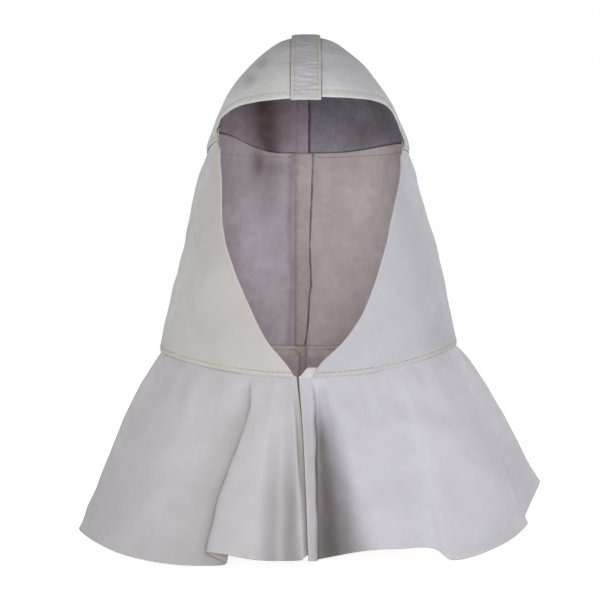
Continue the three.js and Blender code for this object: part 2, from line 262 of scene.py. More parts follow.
def run_down(grid):
    """Length along each column from its first row."""
    steps = np.linalg.norm(np.diff(grid, axis=0), axis=-1)
    return np.concatenate([np.zeros((1, grid.shape[1])), np.cumsum(steps, axis=0)])


def link_mesh(name, points, faces, materials):
    mesh = bpy.data.meshes.new(name)
    mesh.from_pydata((np.asarray(points) * MM).tolist(), [], faces)
    for material in materials:
        mesh.materials.append(material)
    mesh.polygons.foreach_set("use_smooth", [True] * len(mesh.polygons))
    piece = bpy.data.objects.new(name, mesh)
    bpy.context.scene.collection.objects.link(piece)
    return piece


RIM_DEPTHS = (0.15, 0.5, 0.85)
RIM_SHAPE = (0.75, 1, 0.75)
RAW_BULGE = 0.12  # how far a raw edge bulges, as a share of the thickness
TURNED_BULGE = 0.4
# Marks that a hide carries on each side: millimetres to its own edge (on the flesh side, to a raw edge lying
# on it), to a row of stitches and to the edge of a layer that lies on it, and how stained and painted with
# shade it is.
# Beside those raw edges and covering layers a line of painted shadow is drawn.
FAR = 99.0
CLEAR_MARKS = {"edge_mm": FAR, "seam_mm": FAR, "cover_mm": FAR, "stain": 0.0}


def sew_hide(
    node, grid, thickness, materials, keep=None, turned=None, grain_marks=None, flesh_marks=None
):
    """A sheet of hide in a solid's place: the grain side is the grid, the flesh side lies under it, and a
    rounded wall closes every open edge. The materials are for the grain, the flesh and the cut edge, keep
    says which cells of the grid are hide, and turned marks folded edges."""
    rows, columns = grid.shape[:2]
    count = rows * columns
    thickness = np.broadcast_to(thickness, (rows, columns)).reshape(-1, 1)
    turned = np.zeros(count, bool) if turned is None else turned.ravel()
    normals = sheet_normals(grid).reshape(-1, 3)
    outer = grid.reshape(-1, 3)
    inner = outer - normals * thickness
    number = np.arange(count).reshape(rows, columns)
    cells = np.stack([number[:-1, :-1], number[:-1, 1:], number[1:, 1:], number[1:, :-1]], axis=-1)
    cells = cells.reshape(-1, 4) if keep is None else cells[keep]
    edges = np.concatenate([cells[:, [k, (k + 1) % 4]] for k in range(4)])
    open_edges = edges[~np.isin(edges[:, 0] * count + edges[:, 1], edges[:, 1] * count + edges[:, 0])]
    edge_out = np.zeros((count, 3))
    run = unit(outer[open_edges[:, 1]] - outer[open_edges[:, 0]])
    for end in (0, 1):
        np.add.at(edge_out, open_edges[:, end], np.cross(run, normals[open_edges[:, end]]))
    rim = np.unique(open_edges)
    place = np.full(count, -1)
    place[rim] = np.arange(len(rim))
    bulge = np.where(turned[rim], TURNED_BULGE, RAW_BULGE)[:, None] * thickness[rim]
    rings = [
        outer[rim] - normals[rim] * thickness[rim] * depth + unit(edge_out[rim]) * bulge * shape
        for depth, shape in zip(RIM_DEPTHS, RIM_SHAPE)
    ]
    ring_numbers = [2 * count + k * len(rim) + place for k in range(len(rings))]
    loops = [np.arange(count), *ring_numbers, np.arange(count) + count]
    faces = [cells, cells[:, ::-1] + count]
    finish = [np.zeros(len(cells), int), np.ones(len(cells), int)]
    start, end = open_edges.T
    for upper, lower in zip(loops[:-1], loops[1:]):
        faces.append(np.stack([upper[end], upper[start], lower[start], lower[end]], axis=-1))
        finish.append(np.where(turned[start] & turned[end], 0, 2))
    points = np.concatenate([outer, inner, *rings])
    piece = link_mesh(f"{node}_hide", points, np.concatenate(faces).tolist(), materials)
    mesh = piece.data
    mesh.polygons.foreach_set("material_index", np.concatenate(finish).astype(np.int32))
    for key, clear in CLEAR_MARKS.items():
        sides = [(marks or {}).get(key, clear) for marks in (grain_marks, flesh_marks)]
        upper, lower = (np.broadcast_to(values, (rows, columns)).ravel() for values in sides)
        values = np.concatenate([upper, lower, *[upper[rim]] * len(rings)])
        layer = mesh.attributes.new(key, "FLOAT", "POINT")
        layer.data.foreach_set("value", values.astype(np.float32))
    whole = bmesh.new()
    whole.from_mesh(mesh)
    bmesh.ops.remove_doubles(whole, verts=whole.verts, dist=2e-6)
    loose = [vertex for vertex in whole.verts if not vertex.link_faces]
    bmesh.ops.delete(whole, geom=loose, context="VERTS")
    whole.to_mesh(mesh)
    whole.free()
    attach(piece, "root")
    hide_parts(node)


def set_inputs(tree, node, inputs):
    """Sets a node's inputs to values, or links them to other nodes' outputs."""
    for key, value in inputs.items():
        if isinstance(value, bpy.types.NodeSocket):
            tree.links.new(value, node.inputs[key])
        else:
            node.inputs[key].default_value = value


def add_node(tree, kind, inputs=None, **settings):
    node = tree.nodes.new(kind)
    for key, value in settings.items():
        setattr(node, key, value)
    set_inputs(tree, node, inputs or {})
    return node


def new_group(name, inputs, outputs):
    """A group of shader nodes that work on numbers: the group, what it is given, its result and its place."""
    group = bpy.data.node_groups.new(name, "ShaderNodeTree")
    for in_out, keys in (("INPUT", inputs), ("OUTPUT", outputs)):
        for key in keys:
            group.interface.new_socket(key, in_out=in_out, socket_type="NodeSocketFloat")
    given = group.nodes.new("NodeGroupInput").outputs
    where = add_node(group, "ShaderNodeTexCoord").outputs["Object"]
    return group, given, group.nodes.new("NodeGroupOutput"), where


def noise(tree, where, scale, detail, roughness=0.5, distortion=0):
    inputs = {"Vector": where, "Scale": scale, "Detail": detail}
    inputs |= {"Roughness": roughness, "Distortion": distortion}
    return add_node(tree, "ShaderNodeTexNoise", inputs).outputs["Fac"]


def stretched(tree, where, scale):
    return add_node(tree, "ShaderNodeMapping", {"Vector": where, "Scale": scale}).outputs["Vector"]


def ramp(tree, value, low, high):
    """Value rising from 0 to 1 between two bounds."""
    inputs = {"Value": value, "From Min": low, "From Max": high}
    return add_node(tree, "ShaderNodeMapRange", inputs, interpolation_type="SMOOTHSTEP").outputs["Result"]


def maths(tree, operation, a, b):
    return add_node(tree, "ShaderNodeMath", {0: a, 1: b}, operation=operation).outputs[0]


def colour(screen):
    """A colour from its red, green and blue screen values of 0 to 255."""
    parts = np.array(screen) / 255
    linear = np.where(parts <= 0.04045, parts / 12.92, ((parts + 0.055) / 1.055) ** 2.4)
    return (*linear.tolist(), 1.0)


def mixed(tree, factor, a, b):
    """A mix of two colours, each given as screen values or as another node's output."""
    a, b = (colour(end) if isinstance(end, tuple) else end for end in (a, b))
    inputs = {"Factor": factor, "A": a, "B": b}
    return add_node(tree, "ShaderNodeMix", inputs, data_type="RGBA").outputs["Result"]


def layered(tree, below, layers):
    """A colour with others laid over it, each by its mask and strength."""
    for above, mask, strength in layers:
        below = mixed(tree, maths(tree, "MULTIPLY", mask, strength), below, above)
    return below


# Cloudy blotches and small flecks, as in any dyed hide.
SPOTS = ["Cloud", "Fleck"]
blotches, given, result, where = new_group("hide_blotches", [f"{key} Scale" for key in SPOTS], SPOTS)
cloud = ramp(blotches, noise(blotches, where, given["Cloud Scale"], 3, distortion=0.6), 0.3, 0.72)
fleck = ramp(blotches, noise(blotches, where, given["Fleck Scale"], 4, 0.65), 0.36, 0.7)
set_inputs(blotches, result, {"Cloud": cloud, "Fleck": fleck})

# Pores of the grain side, with fine creases that run level.
grain, given, result, where = new_group("hide_grain", ["Pore Scale", "Crease"], ["Height"])
pore_inputs = {"Vector": where, "Scale": given["Pore Scale"], "Smoothness": 0.6}
pores = add_node(grain, "ShaderNodeTexVoronoi", pore_inputs, feature="SMOOTH_F1").outputs["Distance"]
creases = noise(grain, stretched(grain, where, (0.35, 0.8, 1.5)), 95, 5, 0.6, 1.2)
creased = maths(grain, "MULTIPLY", creases, given["Crease"])
set_inputs(grain, result, {"Height": maths(grain, "ADD", maths(grain, "MULTIPLY", pores, 0.35), creased)})

# Brushed nap of the flesh side, in short fibres.
nap, given, result, where = new_group("flesh_nap", ["Fibre Scale"], ["Height", "Fibre"])
fibres = noise(nap, stretched(nap, where, (1.6, 1, 0.7)), given["Fibre Scale"], 5, 0.7)
set_inputs(nap, result, {"Height": fibres, "Fibre": ramp(nap, fibres, 0.35, 0.7)})

# What time does near a line: hide is rubbed at edges and yellows at stitches, and a line of painted shadow
# lies beside a cover.
WEAR_AND_SHADOW_LINES = {"Edge": "edge_mm", "Seam": "seam_mm", "Cover": "cover_mm"}
wear_reaches = [f"{key} Reach" for key in WEAR_AND_SHADOW_LINES]
wear, given, result, where = new_group("hide_wear", wear_reaches, [*WEAR_AND_SHADOW_LINES, "Stain And Shade"])
patchy = noise(wear, where, 60, 3)
patches = ramp(wear, patchy, 0.15, 0.6)
for key, mark in WEAR_AND_SHADOW_LINES.items():
    distance = add_node(wear, "ShaderNodeAttribute", attribute_name=mark).outputs["Fac"]
    apart = maths(wear, "DIVIDE", maths(wear, "ABSOLUTE", distance, 0), given[f"{key} Reach"])
    near = maths(wear, "MAXIMUM", maths(wear, "SUBTRACT", 1, apart), 0)
    set_inputs(wear, result, {key: maths(wear, "MULTIPLY", near, patches)})
# The stain mark carries real stains and painted shade in folds, dents and hollows.
stain_and_shade_mark = add_node(wear, "ShaderNodeAttribute", attribute_name="stain").outputs["Fac"]
set_inputs(wear, result, {"Stain And Shade": maths(wear, "MULTIPLY", stain_and_shade_mark, ramp(wear, patchy, -0.3, 0.55))})


def new_material(name):
    material = bpy.data.materials.new(name)
    material.use_nodes = True
    tree = material.node_tree
    return material, tree, tree.nodes["Principled BSDF"]


def placed_group(tree, group, inputs):
    return add_node(tree, "ShaderNodeGroup", inputs, node_tree=group).outputs


def bumped(tree, height, strength, distance):
    inputs = {"Height": height, "Strength": strength, "Distance": distance}
    return add_node(tree, "ShaderNodeBump", inputs).outputs["Normal"]


SEAM_YELLOW = (196, 190, 164)
RUBBED_PALE = (222, 219, 216)
# Painted shadow beside the edge of a layer that lies on the grain side.
COVER_SHADOW = (104, 99, 96)
# Stains on the flesh side, and painted shade in its folds and hollows.
FLESH_STAIN_AND_SHADE = (104, 90, 90)
# Painted shadow at raw edges and covering layers on the flesh side.
FLESH_EDGE_SHADOW = (52, 44, 50)


def grain_leather(name, pale, deep, stain, painted_shading, crease=0.6, rubbed=0.1, relief=0.4):
    """Dyed grain leather: cloudy and faintly flecked, yellowed along its seams and rubbed pale at its edges,
    with painted shade in its dents and flutes and painted shadow beside layers that lie on it.
    """
    material, tree, shader = new_material(name)
    spots = placed_group(tree, blotches, {"Cloud Scale": 13, "Fleck Scale": 140})
    worn_and_shaded = placed_group(tree, wear, {"Edge Reach": 2, "Seam Reach": 5, "Cover Reach": 1.4})
    surface = placed_group(tree, grain, {"Pore Scale": 900, "Crease": crease})
    layers = (
        (stain, spots["Fleck"], 0.16),
        # Painted shade in dents and flutes, by the stain mark.
        (painted_shading, worn_and_shaded["Stain And Shade"], 0.8),
        (SEAM_YELLOW, worn_and_shaded["Seam"], 0.22),
        (RUBBED_PALE, worn_and_shaded["Edge"], rubbed),
        # Painted shadow beside the edge of a layer that lies on the grain.
        (COVER_SHADOW, worn_and_shaded["Cover"], 0.75),
    )
    inputs = {
        "Base Color": layered(tree, mixed(tree, spots["Cloud"], deep, pale), layers),
        "Roughness": maths(tree, "ADD", maths(tree, "MULTIPLY", spots["Fleck"], 0.14), 0.54),
        "Specular IOR Level": 0.3,
        "Normal": bumped(tree, surface["Height"], relief, 0.0008),
    }
    set_inputs(tree, shader, inputs)
    return material


def suede(name, pale, deep, shade):
    """The napped flesh side: soft, blotched, stained, without gloss, with painted shade in its folds and
    painted shadow beside the raw edges that lie on it.
    """
    material, tree, shader = new_material(name)
    spots = placed_group(tree, blotches, {"Cloud Scale": 17, "Fleck Scale": 90})
    fuzz = placed_group(tree, nap, {"Fibre Scale": 420})
    worn_and_shaded = placed_group(tree, wear, {"Edge Reach": 1.4, "Seam Reach": 3, "Cover Reach": 1.8})
    layers = (
        (shade, spots["Fleck"], 0.42),
        (pale, fuzz["Fibre"], 0.4),
        # Stains, and painted shade in folds and hollows.
        (FLESH_STAIN_AND_SHADE, worn_and_shaded["Stain And Shade"], 0.8),
        # Painted shadow beside raw edges and covering layers.
        (FLESH_EDGE_SHADOW, maths(tree, "MAXIMUM", worn_and_shaded["Edge"], worn_and_shaded["Cover"]), 0.85),
    )
    inputs = {
        "Base Color": layered(tree, mixed(tree, spots["Cloud"], deep, pale), layers),
        "Roughness": 0.95,
        "Specular IOR Level": 0.15,
        "Sheen Weight": 0.1,
        "Sheen Roughness": 0.5,
        "Normal": bumped(tree, fuzz["Height"], 0.5, 0.0009),
    }
    set_inputs(tree, shader, inputs)
    return material


def cut_edge(name, pale, deep):
    """The raw cut through the hide: paler, fibrous and dry."""
    material, tree, shader = new_material(name)
    fuzz = placed_group(tree, nap, {"Fibre Scale": 900})
    inputs = {
        "Base Color": mixed(tree, fuzz["Fibre"], deep, pale),
        "Roughness": 0.9,
        "Specular IOR Level": 0.2,
        "Normal": bumped(tree, fuzz["Height"], 0.5, 0.0005),
    }
    set_inputs(tree, shader, inputs)
    return material


def both_sides(finish, name, tints, **settings):
    """A material for the left half and one for the right half, each in its own tints."""
    return {side: finish(f"{name}_{SIDES[side]}", *tints[side], **settings) for side in SIDES}


# The colour of painted shade in the crown's dents.
CROWN_SHADE_COLOUR = (138, 137, 138)
CROWN_TINTS = {
    LEFT: ((206, 206, 206), (196, 196, 196), (176, 175, 173), CROWN_SHADE_COLOUR),
    RIGHT: ((200, 200, 205), (190, 190, 195), (170, 169, 172), CROWN_SHADE_COLOUR),
}
CROWN_FLESH = {
    LEFT: ((190, 175, 187), (168, 153, 164), (136, 120, 124)),
    RIGHT: ((172, 168, 180), (146, 141, 154), (110, 105, 116)),
}
crown_grain = both_sides(grain_leather, "crown_grain", CROWN_TINTS, crease=1.2, rubbed=0.6, relief=1.0)
crown_suede = both_sides(suede, "crown_suede", CROWN_FLESH)
raw_edge = cut_edge("raw_edge", (204, 202, 200), (180, 176, 172))


def crown_place(side, across, along):
    """Turn, drop and degrees past the temple on the crown's grid: across 0 to 1 round the side and 1 to 2
    over the brow, along 0 to 1 down to the temple and 1 to 2 on to the lower edge."""
    temple = face_turn(side, TEMPLE_DROP)
    past = (180 - temple) * np.clip(across - 1, 0, 1) ** BROW_CROWDING
    round_side = np.minimum(across, 1)
    below = TEMPLE_DROP + (crown_edge_drop(side, round_side) - TEMPLE_DROP) * (along - 1)
    side_drop = np.where(along > 1, below, TEMPLE_DROP * along**2)
    is_brow = (across > 1) & (along <= 1)
    drop = np.where(is_brow, rim_curve[side](past) * along**2, side_drop)
    corner = CROWN_CORNER * np.clip(along - 1, 0, 1) ** 2
    side_turn = face_turn(side, np.maximum(side_drop, TEMPLE_DROP)) - corner
    turn = np.where(is_brow, temple, round_side * side_turn) + past
    return side * turn, drop, past


CROWN_ACROSS = graded((0, 1, 73), (1, 2, 49))
CROWN_ALONG = graded((0, 0.9, 40), (0.9, 1, 13), (1, 2, 15))
RIM_ROW = int(np.searchsorted(CROWN_ALONG, 1 - 1e-9))
crown_grids = {}
for side, name in SIDES.items():
    across, along = np.meshgrid(CROWN_ACROSS[::side], CROWN_ALONG)
    turn, drop, past = crown_place(side, across, along)
    base = hood_point(turn, drop)
    down = run_down(base)
    is_over_brow = across > 1
    from_rim = np.where(is_over_brow, down[RIM_ROW] - down, down[-1] - down)
    is_hem = np.where(is_over_brow, smoothstep(past, 0, HEM_FADE), 0)
    groove = STITCH_GROOVE * hump(from_rim, BROW_STITCH_ABOVE, BROW_GROOVE_WIDTH)
    lift = crown_relief(base) + is_hem * (HEM_PUFF_HEIGHT * hump(from_rim, *HEM_PUFF) - groove)
    is_front = base[..., 1] < 0
    painted_shading = np.zeros(base.shape[:2])
    # Dents press the front in, and painted shade darkens them.
    for x, z, radius, depth in CROWN_DENTS:
        dent = spot(base, x, z, radius, radius) * is_front
        lift -= depth * dent
        painted_shading += DENT_SHADE * dent
    # The fold and a place inside the back are darkened with painted shade.
    fold = hump(base[..., 0], *CROWN_FOLD) * ~is_front * smoothstep(drop, *CROWN_FOLD_START)
    lift += CROWN_FOLD_DEPTH * fold * (1 - smoothstep(drop, *CROWN_FOLD_END))
    stain = CROWN_INSIDE_SHADE_STRENGTH * spot(base, *CROWN_INSIDE_SHADE) * ~is_front
    near_edge = np.where(is_over_brow, 0, smoothstep(CROWN_PULL_REACH - from_rim, 0, CROWN_PULL_REACH))
    surface = lifted(side, base, lift - CROWN_PULL * near_edge)
    hem_thickness = 1 + HEM_THICKER * is_hem * smoothstep(HEM_DEPTH - from_rim, 0, 2)
    middle_across = (across[:-1, :-1] + across[1:, 1:]) / 2
    middle_along = (along[:-1, :-1] + along[1:, 1:]) / 2
    strip_edge = STRIP_LEFT - BESIDE_COVER if side == LEFT else STRIP_RIGHT + BESIDE_COVER
    from_seam_raw = 0.65 * (surface[..., 0] - CROWN_SEAM_RAW) - BESIDE_COVER
    sew_hide(
        f"crown_{name}",
        surface,
        WALL * hem_thickness * (1 - CROWN_PRESSED * near_edge),
        (crown_grain[side], crown_suede[side], raw_edge),
        keep=(middle_across < 1) | (middle_along < 1),
        turned=(across >= 1) & (np.abs(along - 1) < 1e-9),
        # On the grain side, painted shadow beside the strip's edges and painted shade in the dents.
        grain_marks={
            "edge_mm": from_rim,
            "seam_mm": from_rim - np.where(is_over_brow, BROW_STITCH_ABOVE, CROWN_STITCH_ABOVE),
            "cover_mm": surface[..., 0] - strip_edge,
            "stain": painted_shading,
        },
        # On the flesh side, painted shadow beside the panel's raw top edge and the seam allowance's raw edge,
        # and painted shade down the fold and inside the back.
        flesh_marks={
            "edge_mm": drop - panel_top_drop(side, np.minimum(across, 1)) + 0.8,
            "cover_mm": np.where(is_front, FAR, from_seam_raw),
            "stain": CROWN_FOLD_SHADE * fold + stain,
        },
    )
    crown_grids[side] = (surface, from_rim, across)

# Crown strip
# A flat strip of the same hide, 28 mm wide, laid over the crown's centre seam from the brow to the back.
# It is topstitched along both edges, and its brow end is turned under and hangs a little past the rim.
STRIP_OVERHANG = 3
STRIP_FOLLOW = 0.5  # share of the crown's cross curve that the stiff strip takes up
STRIP_LIFT = LAP_GAP / 2 + WALL
STRIP_CLEAR = 0.25  # how much further off the strip's relief is laid
STRIP_STITCH_IN = 2.8
STRIP_GROOVE = 0.3
STRIP_GROOVE_WIDTH = 0.9
STRIP_HEM = 9.5
STRIP_HEM_THICKER = 0.7
STRIP_CREASES = 0.26  # height of the fine creases across it
STRIP_CREASE_LENGTH = 5.5
STRIP_JOINT_ALONG = -0.51  # where two lengths of strip are joined
STRIP_STEP = 0.6  # height of the step there
STRIP_STEP_RUN = (-0.8, 0.8, 22)  # where the step begins, where it is full and where it has eased off
STRIP_TINTS = ((190, 188, 192), (180, 178, 182), (160, 157, 162), CROWN_SHADE_COLOUR)
BROW_DROP = float(rim_curve[RIGHT](180))


def ridge_line(along, brow, back):
    """Level and height of the crown's centre seam, from -1 at the brow through 0 at the top to 1 behind."""
    drop = np.where(along < 0, brow, back) * along**2
    root = np.sqrt(drop)
    return np.where(along < 0, -front_curve(root), back_curve(root)), WALL - drop


def ridge_band(x, along, brow, back, follow, height):
    """Points along the crown's centre seam, at a sideways distance and a height off its outside."""
    x, along = np.broadcast_arrays(x, along)
    level, rise = ridge_line(along, brow, back)
    ahead = ridge_line(along + 1e-3, brow, back)
    behind = ridge_line(along - 1e-3, brow, back)
    out_y = behind[1] - ahead[1]
    out_z = ahead[0] - behind[0]
    length = np.hypot(out_y, out_z)
    out_y, out_z = out_y / length, out_z / length
    near = np.zeros_like(x, float)
    far = np.abs(x).astype(float)
    for _ in range(36):
        middle = (near + far) / 2
        y = level - out_y * middle
        drop = np.maximum(WALL - (rise - out_z * middle), 1e-6)
        is_inside = (x / half_width(x, drop)) ** 2 + (y / reach(y, drop)) ** 2 < 1
        far = np.where(is_inside, middle, far)
        near = np.where(is_inside, near, middle)
    off = np.asarray(height) - follow * far
    return np.stack([x * np.ones_like(off), level + out_y * off, rise + out_z * off], axis=-1)


strip_grain = grain_leather("strip_grain", *STRIP_TINTS, crease=1.4, rubbed=0.35, relief=0.8)
strip_x = np.concatenate([[0, 0.5], np.linspace(1.2, 26.8, 27), [27.5, 28]]) + STRIP_LEFT
strip_x, strip_along = np.meshgrid(strip_x, graded((-1, -0.9, 16), (-0.9, 1, 170)))
strip_run = (BROW_DROP + STRIP_OVERHANG, CROWN_BACK_EDGE, STRIP_FOLLOW)
strip_base = ridge_band(strip_x, strip_along, *strip_run, STRIP_LIFT)
from_end = run_down(strip_base)
from_side = np.minimum(strip_x - STRIP_LEFT, STRIP_RIGHT - strip_x)
from_joint = from_end - np.interp(STRIP_JOINT_ALONG, strip_along[:, 0], from_end[:, 0])
creases = STRIP_CREASES * ripple(strip_base * (0.25, 1, 1), STRIP_CREASE_LENGTH, 12)
creases = creases * smoothstep(from_side, 0, 5)
groove = STRIP_GROOVE * hump(from_side, STRIP_STITCH_IN, STRIP_GROOVE_WIDTH)
step = smoothstep(from_joint, *STRIP_STEP_RUN[:2]) - smoothstep(from_joint, *STRIP_STEP_RUN[1:])
strip_off = STRIP_LIFT + STRIP_CLEAR + creases - groove + STRIP_STEP * step + crown_relief(strip_base)
strip_grid = ridge_band(strip_x, strip_along, *strip_run, strip_off)
sew_hide(
    "crown_strip",
    strip_grid,
    WALL + STRIP_HEM_THICKER * smoothstep(9 - from_end, 0, 3),
    (strip_grain, raw_edge, raw_edge),
    turned=from_end < 1e-9,
    # The cover mark draws a line of painted shadow at the step where two lengths of strip are joined.
    grain_marks={
        "edge_mm": np.minimum(from_side, from_end),
        "seam_mm": np.minimum(from_side - STRIP_STITCH_IN, np.abs(from_end - STRIP_HEM)),
        "cover_mm": from_joint + 0.6,
    },
)

# Crown seam flap
# The two allowances of the crown's centre seam, turned to one side and lying flat inside, flesh side showing.
# Their edge was cut by hand and wavers.
FLAP_GAP = 1.2
FLAP_FOLD_GAP = 0.1
FLAP_CURL = 0.8  # how far the raw edge curls off the hide
FLAP_THICKNESS = (0.25, 0.95)  # at the sewn fold, and how much more at the raw edge
CROWN_FLAP_LEFT = -11
CROWN_FLAP_FROM = -0.91
CROWN_FLAP_BACK = CROWN_BACK_EDGE - LAP - 0.6
CROWN_FLAP_REACH = 150  # about its length from the top to either end
flap_suede = suede("flap_suede", (198, 187, 188), (182, 171, 172), (156, 143, 142))
# A dark raw edge for the seam allowances, darkened further with painted shadow for the gap behind it.
flap_edge_painted_shadow = cut_edge("flap_edge_painted_shadow", (120, 106, 104), (78, 66, 68))


def ragged(run, seed):
    """A hand-cut edge's waver along its length, in millimetres."""
    line = np.stack([run, np.zeros_like(run), np.zeros_like(run)], axis=-1)
    return 0.4 * ripple(line, 34, seed) + 0.2 * ripple(line, 8, seed + 1)


def flap_rise(share):
    """How far an allowance stands off the hide from its sewn fold to its raw edge, and its thickness."""
    gap = FLAP_FOLD_GAP + (FLAP_GAP - FLAP_FOLD_GAP) * smoothstep(share, 0, 0.35)
    least, more = FLAP_THICKNESS
    return gap + FLAP_CURL * share**3, least + more * smoothstep(share, 0, 0.3)


share, along = np.meshgrid(np.linspace(0, 1, 17), np.linspace(CROWN_FLAP_FROM, 1, 110))
raw = CROWN_SEAM_RAW + 0.6 * ragged(along * CROWN_FLAP_REACH, 21)
x = CROWN_FLAP_LEFT + (raw - CROWN_FLAP_LEFT) * share
base = ridge_band(x, along, BROW_DROP, CROWN_FLAP_BACK, 1, -WALL)
stand, thickness = flap_rise(share)
off = crown_relief(base) - WALL - stand
sew_hide(
    "crown_seam_flap",
    ridge_band(x, along, BROW_DROP, CROWN_FLAP_BACK, 1, off),
    thickness,
    (flap_edge_painted_shadow, crown_suede[LEFT], flap_edge_painted_shadow),
)

# Side panels
# Two panels that hang from under the crown to the neck and meet in a seam at the back.
# Their front edges are cut raw and leave the pear-shaped face opening.
TUCK_FADE = 10
TUCK_EASE = 26  # how far below the crown's edge a panel still comes out to the full width
TEMPLE_SETBACK = 3  # degrees by which the tucked front corner hides behind the crown
NECK_BACK = 320
NECK_FRONT = 334.5
NECK_SIDE = {LEFT: 312, RIGHT: 305}
NECK_STITCH_ABOVE = 4.6
NECK_GROOVE_WIDTH = 1.4
PANEL_PULL = 0.7  # how far the stitches draw the lower edge in
PANEL_PULL_REACH = 6
PANEL_PRESSED = 0.4  # how much thinner the hide is pressed at that edge
PUCKER = (9, -254, 8, 12)  # x, z, half-width and half-height of small puckers beside the back seam
PUCKER_HEIGHT = 1.1
PUCKER_LENGTH = 8.5
PUCKER_SLANT = 0.75
BACK_FLAP_LEFT = -14  # x of the soft fold of the seam allowance inside the back
FOLD_SHADOW_BAND = (-17, 3.5)  # x and half-width of a band of painted shadow beside that fold
# how dark that painted shadow is
FOLD_SHADOW_STRENGTH = 0.4
FOLD_SHADOW_WANDER = 1.5  # how far that band of painted shadow wanders sideways
FOLD_SHADOW_WANDER_LENGTH = 140

# The seam allowance's raw edge inside the back, as drop and x.
BACK_RAW = np.array([(105, 6.2), (140, 5), (170, 3.6), (205, 2.4), (245, 4), (258, 2), (285, 0.6), (312, -3)])
back_raw_curve = table_curve(BACK_RAW[:, 0], BACK_RAW[:, 1])

# Stains inside the back, and painted shade in the last row, low on the right beside the seam: x, z,
# half-width, half-height and strength.
PANEL_STAINS_AND_SHADE = (
    (-52, -114, 8, 17, 0.6),
    (-46, -130, 30, 30, 0.42),
    (-34, -120, 14, 13, 0.35),
    (-40, -158, 10, 16, 0.2),
    (8, -128, 5, 20, 0.25),
    (44, -112, 46, 34, 0.2),
    (26, -190, 36, 110, 0.34),
)
PANEL_TINTS = {
    LEFT: ((195, 193, 192), (187, 184, 182), (184, 178, 168), (150, 146, 138)),
    RIGHT: ((189, 188, 195), (180, 179, 187), (173, 170, 177), (150, 148, 150)),
}
PANEL_FLESH = {
    LEFT: ((206, 197, 207), (190, 180, 190), (166, 154, 162)),
    RIGHT: ((222, 211, 211), (206, 195, 195), (184, 171, 168)),
}
panel_grain = both_sides(grain_leather, "panel_grain", PANEL_TINTS)
panel_suede = both_sides(suede, "panel_suede", PANEL_FLESH)


def outward(surface, u, v, step=1e-3):
    across = surface(u + step, v) - surface(u - step, v)
    along = surface(u, v + step) - surface(u, v - step)
    return unit(np.cross(across, along))


def inside_hood(turn, drop, depth):
    turn, drop = np.broadcast_arrays(turn, drop)
    return hood_point(turn, drop) - outward(hood_point, turn, drop) * np.asarray(depth)[..., None]


def run_across(grid):
    """Length along each row from its first column."""
    return run_down(grid.transpose(1, 0, 2)).T


def run_from_front(side, grid):
    """Length along each row from its front end."""
    run = run_across(grid)
    return run if side == LEFT else run[:, -1:] - run


def neck_drop(turn):
    sine = np.sin(np.radians(turn))
    cosine = np.cos(np.radians(turn))
    side = np.where(sine < 0, NECK_SIDE[LEFT], NECK_SIDE[RIGHT])
    return side + (np.where(cosine >= 0, NECK_BACK, NECK_FRONT) - side) * cosine**2


def tuck_share(side, across, drop, fade):
    return 1 - smoothstep(drop - crown_edge_drop(side, across), 1, fade)


def panel_depth(side, across, drop):
    """How far inside the hood's outline a panel's grain side lies."""
    return (WALL + LAP_GAP) * tuck_share(side, across, drop, TUCK_EASE)


def side_panel_place(side, across, along):
    """Turn and drop on a side panel: across 0 to 1 from the back seam to the face, along 0 to 1 down."""
    top = panel_top_drop(side, across)
    drop = np.broadcast_to(top, along.shape)
    for _ in range(12):
        setback = TEMPLE_SETBACK * tuck_share(side, across, drop, TUCK_FADE)
        turn = side * across * (face_turn(side, drop) - setback)
        drop = top + (neck_drop(turn) - top) * along
    return turn, drop


